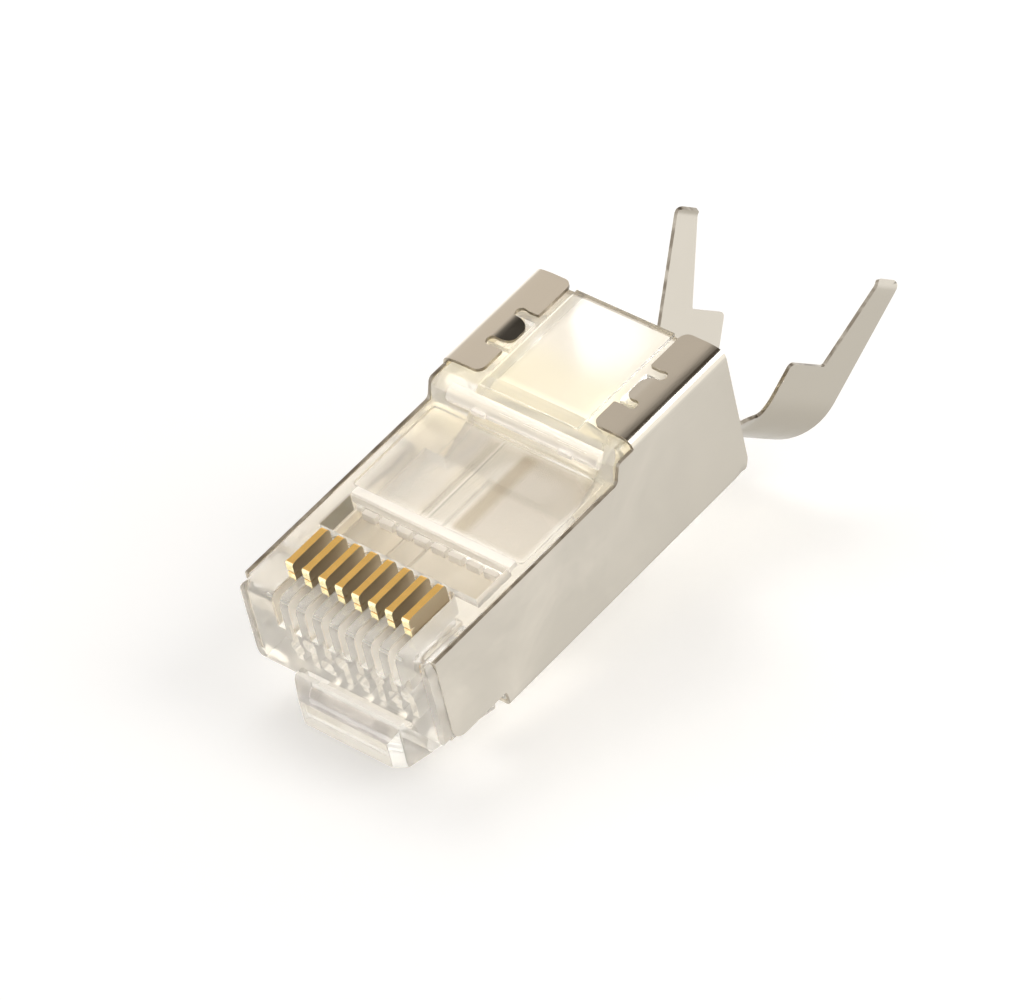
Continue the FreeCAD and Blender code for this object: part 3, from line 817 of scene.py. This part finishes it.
def joined(blank, operations):
    """The blank after a list of ("UNION" | "DIFFERENCE" | "INTERSECT", [solids]) steps, as one solid."""
    scene = bpy.context.scene
    groups = []
    body = hold(blank)
    scene.collection.objects.link(body)
    for operation, solids in operations:
        group = bpy.data.collections.new("cutters")
        scene.collection.children.link(group)
        groups.append(group)
        for solid in solids:
            group.objects.link(hold(solid))
        step = body.modifiers.new("step", "BOOLEAN")
        step.operation = operation
        step.operand_type = "COLLECTION"
        step.collection = group
        step.solver = "EXACT"
    bpy.context.view_layer.update()
    mesh = bpy.data.meshes.new_from_object(body.evaluated_get(bpy.context.evaluated_depsgraph_get()))
    points = np.empty(len(mesh.vertices) * 3)
    mesh.vertices.foreach_get("co", points)
    faces = [list(face.vertices) for face in mesh.polygons]
    bpy.data.meshes.remove(mesh)
    for group in groups:
        for cutter in list(group.objects):
            bpy.data.objects.remove(cutter)
        bpy.data.collections.remove(group)
    bpy.data.objects.remove(body)
    return points.reshape(-1, 3), faces


def merged(solids):
    """Several separate solids as one."""
    points, faces, count = [], [], 0
    for solid, flats in solids:
        points.append(solid)
        faces += [[corner + count for corner in face] for face in flats]
        count += len(solid)
    return np.concatenate(points), faces


# The moulding, in millimetres


PITCH = 1.02
NOSE = -0.55
LIP_END = 0.06                   # the nose is wider than the sleeve up to here
ROOF = HUMP - SHEET
INNER = SIDE - SHEET
BEVEL_END = 14.08
REAR = 21.32
THROUGH = 6.5                    # half width that reaches past both sides


def way_centres():
    """Places across of the eight ways, a pitch apart, in the order of the contacts."""
    return [(7 - 2 * index) * PITCH / 2 for index in range(8)]


def swept_body():
    """Side outline swept across, its long edges rounded by an outline swept along."""
    side_view = rounded([(NOSE, LIP_FOOT, 0.3), (NOSE, DECK, 0.55), (STEP, DECK, 0.15),
                         (STEP + 0.19, ROOF - 0.5, 0.15), (BEVEL_END, ROOF, 0.2), (REAR, ROOF, 0.1),
                         (REAR, SHEET, 0), (BAY_FRONT, SHEET, 0), (BAY_FRONT, LIP_FOOT, 0.15)])
    rear_view = rounded([(-INNER, SHEET, 0.20), (INNER, SHEET, 0.20), (INNER, ROOF, 0.55),
                         (-INNER, ROOF, 0.55)])
    envelope = prism(rear_view, 1, 0.0, REAR + 0.01)
    return joined(prism(side_view, 0, -THROUGH, THROUGH), [("INTERSECT", [envelope])])


def nose_lip():
    """The wider nose ahead of the sleeve, rounded as seen from the front and from the side."""
    front_view = oblong(5.83, LIP_FOOT, DECK, 0.70)
    side_view = rounded([(NOSE, LIP_FOOT, 0.3), (NOSE, DECK, 0.55), (LIP_END, DECK, 0),
                         (LIP_END, LIP_FOOT, 0)])
    envelope = prism(side_view, 0, -THROUGH, THROUGH)
    return joined(prism(front_view, 1, NOSE, LIP_END), [("INTERSECT", [envelope])])


def latch_root():
    """Root of the latch under the nose, down to the ground, with a round seat for the latch's knuckle."""
    front, foot, rear, seat_radius = -1.45, -1.02, 0.75, 0.54
    ground = foot - 2.4 * math.tan(PLUG_TILT)
    side_view = rounded([(front, foot, 0.12), (front, 0.52, 0.22), (NOSE, 1.85, 0.3), (rear, 1.85, 0),
                         (rear, ground, 0)])
    plan = rounded([(-3.25, front + 0.52, 0.2), (-2.73, front, 0.2), (2.73, front, 0.2),
                    (3.25, front + 0.52, 0.2), (3.25, rear, 0), (-3.25, rear, 0)])
    turn = np.linspace(0, 2 * math.pi, 41)[:-1]
    seat = np.stack([KNUCKLE.y + seat_radius * np.cos(turn), KNUCKLE.z + seat_radius * np.sin(turn)], 1)
    return joined(prism(side_view, 0, -4, 4), [("INTERSECT", [prism(plan, 2, ground - 1, 1.5)]),
                                               ("DIFFERENCE", [prism(seat, 0, -4, 4)])])


def moulding():
    """Body, nose, latch root and the hump's raised pad in one, less all its openings."""
    pad = box((-3.0, BEVEL_END, ROOF - 0.2), (3.0, REAR, ROOF + 0.17))
    return joined(swept_body(), [("UNION", [nose_lip(), latch_root(), pad]),
                                 ("DIFFERENCE", contact_cuts() + window_cuts() + inner_cuts())])


def contact_cuts():
    """Comb slots open to the front and the guides that the blades are driven into."""
    cuts = []
    for x in way_centres():
        slot = rounded([(x - 0.24, -2, 0), (x + 0.24, -2, 0), (x + 0.24, 3.95, 0.23),
                        (x - 0.24, 3.95, 0.23)])
        cuts.append(prism(slot, 2, 4.20, 7))
        cuts.append(box((x - 0.21, 0.94, 1.56), (x + 0.21, 3.52, 4.30)))
    return cuts


def window_cuts():
    """Recess behind the contacts, which runs on under its cross bar, and the shallow panel."""
    recess = rounded([(4.15, 5.15, 0.15), (4.15, 7, 0), (6.43, 7, 0), (6.43, 5.75, 0), (6.55, 5.63, 0),
                      (6.55, 5.15, 0.1)])
    panel = rounded([(-5.25, 6.98, 0.2), (5.25, 6.98, 0.2), (5.25, 12.95, 0.2), (-5.25, 12.95, 0.2)])
    return [prism(recess, 0, -4.82, 4.82), prism(panel, 2, DECK - 0.16, 7)]


def inner_cuts():
    """Cable entry, the funnel that narrows to the row of wires, the latch bay and the tongue pockets."""
    entry = oblong(4.0, 0.95, ROOF - 0.41, 1.80)
    throat = oblong(4.0, 2.30, 3.20, 0.27)
    cavity, funnel, wires = 15.0, 11.6, 3.75
    cuts = [prism(entry, 1, cavity, REAR + 1), lofted(throat, entry, funnel, cavity + 0.01),
            prism(oblong(5.30, 2.30, 3.20, 0.27), 1, wires - 0.05, funnel + 0.1),
            prism(rounded([(-2.60, 3.1, 0), (-2.20, 3.1, 0), (-2.32, 3.34, 0.05)]), 1, wires, funnel),
            prism(rounded([(-1.25, 3.1, 0), (-0.15, 3.1, 0), (-0.85, 3.45, 0.15)]), 1, wires, funnel),
            box((-BAY_HALF, 1.9, -1), (BAY_HALF, BAY_END, SHEET + 0.80))]
    for index, x in enumerate(way_centres()):
        lift = 0.36 * (-1) ** index
        channel = oblong(0.40, 2.32 + lift, 3.05 + lift, 0.30, x)
        cuts.append(prism(channel, 1, 0.65 + 0.3 * math.sin(5 * x), wires + 0.05))
    for left, right in ((-4.70, -3.42), (3.42, 4.70)):
        cuts.append(box((left, 16.65, 7.08), (right, 18.65, ROOF + 1)))
    return cuts


def hazed_bars():
    """Cross bar with its row of wire guides, and the bar along the step with two ejector marks."""
    guides = [box((1.05 * x - 0.41, 6.16, 5.08), (1.05 * x + 0.41, 6.50, 5.54)) for x in way_centres()]
    cross = rounded([(6.40, 5.72, 0.05), (7.00, 5.72, 0.05), (7.00, 6.27, 0.10), (6.52, 6.27, 0.10),
                     (6.40, 6.15, 0.05)])
    step = rounded([(13.20, 6.60, 0.05), (13.66, 6.60, 0.05), (13.90, 7.30, 0.08), (13.46, 7.36, 0.12),
                    (13.12, 6.90, 0.08)])
    marks = [box((x - 0.42, 13.00, 6.74), (x + 0.42, 13.4, 7.0)) for x in (-2.45, 2.9)]
    return merged(guides + [prism(cross, 0, -4.88, 4.88)]), merged([prism(step, 0, -4.55, 4.75)] + marks)


# The contacts, in millimetres


def blade_outline():
    """Side view (y, z) of a contact: plated head with its nick, then three piercing prongs."""
    front, rear, top, foot, prong = 0.82, 3.50, 7.26, 2.96, 0.95
    set_back = front + 0.14
    corners = [(front, top, 0.12), (front, 6.24, 0.05), (set_back, 6.17, 0.04), (set_back, foot + prong, 0)]
    step = (rear - set_back) / 3
    for number in range(3):
        start = set_back + number * step
        corners += [(start + 0.25 * step, foot, 0.03), (start + 0.45 * step, foot, 0.03),
                    (start + 0.85 * step, foot + prong, 0.04)]
    corners[-1] = (rear, foot + prong, 0)
    return rounded(corners + [(rear, top, 0.24)])


def outer_edges(faces):
    """Directed edges that only one triangle has: the sheet's rim."""
    edges = np.concatenate([faces[:, [0, 1]], faces[:, [1, 2]], faces[:, [2, 0]]])
    _, first, count = np.unique(np.sort(edges, axis=1), axis=0, return_index=True, return_counts=True)
    return edges[first[count == 1]]


def blade_mesh(x):
    """The outline swept between two layers, with thinner inner layers at the front.

    Half thickness at (y, z) is 0.19. Near the front edge it gains 0.032, and loses 0.055 in the
    nick's valley and 0.14 below the head.
    """
    levels = np.concatenate([np.linspace(6.50, 6.80, 11), [6.17, 6.24]])
    path = cut_outline(blade_outline(), 1, levels)
    path = cut_outline(path, 0, [1.08, 1.20])
    inner = grid([0.90, 0.98, 1.08, 1.20], np.concatenate([levels, np.arange(4.0, 6.2, 0.3)]))
    spots, faces = flat_sheet(path, inner[inside(inner, path)])
    y, z = spots.T
    at_front = np.clip((1.14 - y) / 0.16, 0, 1)
    valley = np.exp(-((z - 6.65) / 0.045) ** 2)
    below = np.clip((6.24 - z) / 0.06, 0, 1)
    half = 0.19 + at_front * (0.032 - 0.055 * valley - 0.14 * below)
    y = y + 0.04 * valley * np.clip((0.95 - y) / 0.12, 0, 1)
    near, far = np.stack([x + half, y, z], 1), np.stack([x - half, y, z], 1)
    rim = outer_edges(faces)
    count = len(spots)
    sides = np.stack([rim[:, 1], rim[:, 0], rim[:, 0] + count, rim[:, 1] + count], 1)
    return np.concatenate([near, far]), faces.tolist() + (faces[:, ::-1] + count).tolist() + sides.tolist()


# Stage


def build_world():
    """Soft even light; what mirrors it sees pale surroundings, a warm ceiling and a dark gap overhead."""
    world = bpy.data.worlds.new("studio")
    bpy.context.scene.world = world
    world.use_nodes = True
    tree = world.node_tree
    passed, path = through_plastic(tree)
    surroundings = layered(tree, (1.0, 0.99, 0.975), [
        ((0.585, 0.565, 0.528), toward(tree, (0, 0, -1), 74, 0)),              # ground
        ((1.35, 1.32, 1.24), toward(tree, (-0.55, -0.29, -0.78), 40, 12)),     # brighter ground at the left
        ((0.58, 0.53, 0.475), toward(tree, (-0.60, 0.30, 0.74), 45, 5)),       # warm ceiling
        ((0.07, 0.056, 0.04), toward(tree, (0.12, 0.24, 0.96), 36, 10)),       # dark gap
        ((1.32, 1.30, 1.25), toward(tree, (0.80, 0.42, 0.42), 37, 31)),        # panel at the right
        ((9.0, 9.0, 8.8), toward(tree, (0.47, -0.37, -0.80), 24, 14))])        # glint low at the front
    light = layered(tree, (0.50, 0.50, 0.505), [
        (surroundings, path.outputs["Is Glossy Ray"]), ((1.0, 0.99, 0.97), passed),
        ((1.0, 1.0, 1.0), path.outputs["Is Camera Ray"])])
    feed_all(tree.nodes["Background"], {"Color": light, "Strength": 1.0})


def add_lamp(name, direction, power, mirrored):
    """A square soft lamp that looks at the plug from a direction."""
    data = bpy.data.lights.new(name, "AREA")
    data.shape = "SQUARE"
    data.size = 0.26
    data.energy = power
    lamp = link_object(name, data)
    lamp.visible_glossy = mirrored
    lamp.location = Vector(direction).normalized() * 0.5
    lamp.rotation_euler = lamp.location.to_track_quat("Z", "Y").to_euler()


def add_floor():
    """A wide flat square under the plug."""
    half = sizes().floor_half
    mesh = bpy.data.meshes.new("floor")
    corners = [(-half, -half, 0), (half, -half, 0), (half, half, 0), (-half, half, 0)]
    mesh.from_pydata(corners, [], [(0, 1, 2, 3)])
    mesh.materials.append(floor_material())
    floor = link_object("floor", mesh)
    floor.visible_glossy = False     # mirrors see the world's own pale ground instead


def add_camera():
    """A camera that looks at its aim, turned by azimuth, then elevation, then roll."""
    data = bpy.data.cameras.new("camera")
    data.sensor_width = 36.0
    data.lens = sizes().camera_lens
    data.clip_start = 0.01
    data.clip_end = 20.0
    camera = link_object("camera", data)
    turn = (Matrix.Rotation(sizes().camera_azimuth, 4, "Z")
            @ Matrix.Rotation(math.pi / 2 - sizes().camera_elevation, 4, "X")
            @ Matrix.Rotation(sizes().camera_roll, 4, "Z"))
    aim = Vector((-1.7702, -2.6950, 5.7425)) * MM
    away = Vector((0, 0, sizes().camera_distance))
    camera.matrix_world = Matrix.Translation(aim) @ turn @ Matrix.Translation(away)
    bpy.context.scene.camera = camera


# Operators


class PLUG_OT_clear_body(bpy.types.Operator):
    """Makes the clear moulding and its two hazed bars, and gives the latch the same plastic"""
    bl_idname = "plug.clear_body"
    bl_label = "Clear body"

    def execute(self, context):
        clear = clear_material("clear_polycarbonate", colours().clear, 0.80, 0.02, 0.010, True)
        hazed = clear_material("hazed_polycarbonate", colours().hazed, 0.60, 0.10, 0.032, False)
        round_edges(new_piece("moulding", *moulding(), clear, "body", "clear_plastic", ["housing"]), 0.06)
        for name, solid in zip(("cross_bar", "step_bar"), hazed_bars()):
            round_edges(new_piece(name, *solid, hazed, "body", "clear_plastic"), 0.05)
        give("latch", clear)
        return {"FINISHED"}


class PLUG_OT_shell(bpy.types.Operator):
    """Folds the nickel-plated shell from its flat blank"""
    bl_idname = "plug.shell"
    bl_label = "Shell"

    def execute(self, context):
        shell = new_piece("shell", *shell_mesh(), nickel_material(), "body", "nickel", ["shield"])
        shell.data.materials.append(sheared_material())
        thicken(shell)
        round_edges(shell, 0.035, 50)
        return {"FINISHED"}


class PLUG_OT_contacts(bpy.types.Operator):
    """Makes the eight gold-plated blades"""
    bl_idname = "plug.contacts"
    bl_label = "Contacts"

    def execute(self, context):
        gold = gold_material()
        for name, x in zip(CONTACTS, way_centres()):
            blade = new_piece("blade_" + name[-1], *blade_mesh(x), gold, name, "gold_contact", [name])
            round_edges(blade, 0.02, 55)
        return {"FINISHED"}


class PLUG_OT_stage(bpy.types.Operator):
    """Adds the pale floor, the soft lamps and the camera"""
    bl_idname = "plug.stage"
    bl_label = "Stage"

    def execute(self, context):
        add_floor()
        build_world()
        add_lamp("right_lamp", (0.62, 0.30, 0.72), 0.64, True)
        add_lamp("left_lamp", (-0.40, 0.30, 0.87), 0.60, False)
        add_camera()
        context.scene.view_settings.view_transform = "Standard"
        context.scene.cycles.glossy_bounces = 6
        context.scene.cycles.transmission_bounces = 12
        context.scene.cycles.max_bounces = 13
        return {"FINISHED"}


class PLUG_PT_panel(bpy.types.Panel):
    bl_idname = "PLUG_PT_panel"
    bl_label = "Modular plug"
    bl_space_type = "VIEW_3D"
    bl_region_type = "UI"
    bl_category = "Plug"

    def draw(self, context):
        column = self.layout.column()
        for operator in OPERATORS:
            column.operator(operator.bl_idname)
        for group in (context.scene.plug_sizes, context.scene.plug_colours):
            for key in group.__annotations__:
                column.prop(group, key)


OPERATORS = (PLUG_OT_clear_body, PLUG_OT_shell, PLUG_OT_contacts, PLUG_OT_stage)
CLASSES = (PlugSizes, PlugColours, *OPERATORS, PLUG_PT_panel)


def register():
    for kind in CLASSES:
        bpy.utils.register_class(kind)
    bpy.types.Scene.plug_sizes = bpy.props.PointerProperty(type=PlugSizes)
    bpy.types.Scene.plug_colours = bpy.props.PointerProperty(type=PlugColours)


def unregister():
    del bpy.types.Scene.plug_colours
    del bpy.types.Scene.plug_sizes
    for kind in reversed(CLASSES):
        bpy.utils.unregister_class(kind)


def main():
    register()
    bpy.ops.plug.clear_body()
    bpy.ops.plug.shell()
    bpy.ops.plug.contacts()
    bpy.ops.plug.stage()


if __name__ == "__main__":
    main()
